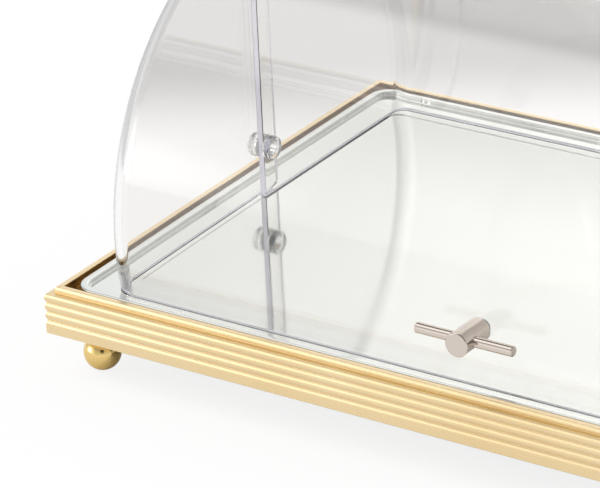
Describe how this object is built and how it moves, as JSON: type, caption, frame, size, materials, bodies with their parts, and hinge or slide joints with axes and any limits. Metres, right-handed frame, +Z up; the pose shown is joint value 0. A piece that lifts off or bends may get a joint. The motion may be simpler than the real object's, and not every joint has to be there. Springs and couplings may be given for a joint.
{
  "type": "roll top food display",
  "caption": "Roll top food display: a reeded gold frame on ball feet holds a polished steel tray, and the front half of a clear drum cover rolls back over the rear half.",
  "frame": {"origin": "middle of the footprint, on the surface that it stands on", "axes": "+X along the front to the right, +Y to the back, +Z up"},
  "size_m": [0.552, 0.3521, 0.2355],
  "materials": {
    "gold_moulding": "gold anodised, polished",
    "gold_ball": "polished and gold plated",
    "zinc_plate": "zinc plated",
    "fasteners": "zinc plated",
    "polished_tray": "polished stainless steel",
    "clear_cover": "clear, moulded",
    "clear_pivot": "clear, turned",
    "soft_washer": "milky nylon",
    "brushed_steel": "brushed stainless steel"
  },
  "bodies": {
    "frame": {"rail_front": "gold_moulding", "rail_back": "gold_moulding", "rail_left": "gold_moulding", "rail_right": "gold_moulding", "corner_plate_front_left": "zinc_plate", "corner_plate_front_right": "zinc_plate", "corner_plate_back_left": "zinc_plate", "corner_plate_back_right": "zinc_plate", "ball_foot_front_left": "gold_ball", "ball_foot_front_right": "gold_ball", "ball_foot_back_left": "gold_ball", "ball_foot_back_right": "gold_ball", "plate_screws": "fasteners", "foot_washers": "fasteners", "foot_nuts": "fasteners"},
    "tray": {"tray": "polished_tray"},
    "rear_cover": {"rear_cover": "clear_cover", "pivot_pin_left": "clear_pivot", "pivot_pin_right": "clear_pivot", "pivot_washer_left": "soft_washer", "pivot_washer_right": "soft_washer", "pivot_cap_left": "clear_pivot", "pivot_cap_right": "clear_pivot"},
    "front_cover": {"front_cover": "clear_cover", "handle_post": "brushed_steel", "handle_bar": "brushed_steel", "handle_screw": "fasteners", "handle_washer_inner": "soft_washer", "handle_washer_outer": "soft_washer"}
  },
  "joints": [
    {"name": "tray_lift", "type": "slide", "parent": "frame", "child": "tray", "axis": [0, 0, 1], "range_m": [0, 0.06]},
    {"name": "cover_lift", "type": "slide", "parent": "tray", "child": "rear_cover", "axis": [0, 0, 1], "range_m": [0, 0.06]},
    {"name": "cover_roll", "type": "hinge", "parent": "rear_cover", "child": "front_cover", "pos_m": [0, 0, 0.081], "axis": [-1, 0, 0], "range_deg": [0, 80]}
  ]
}
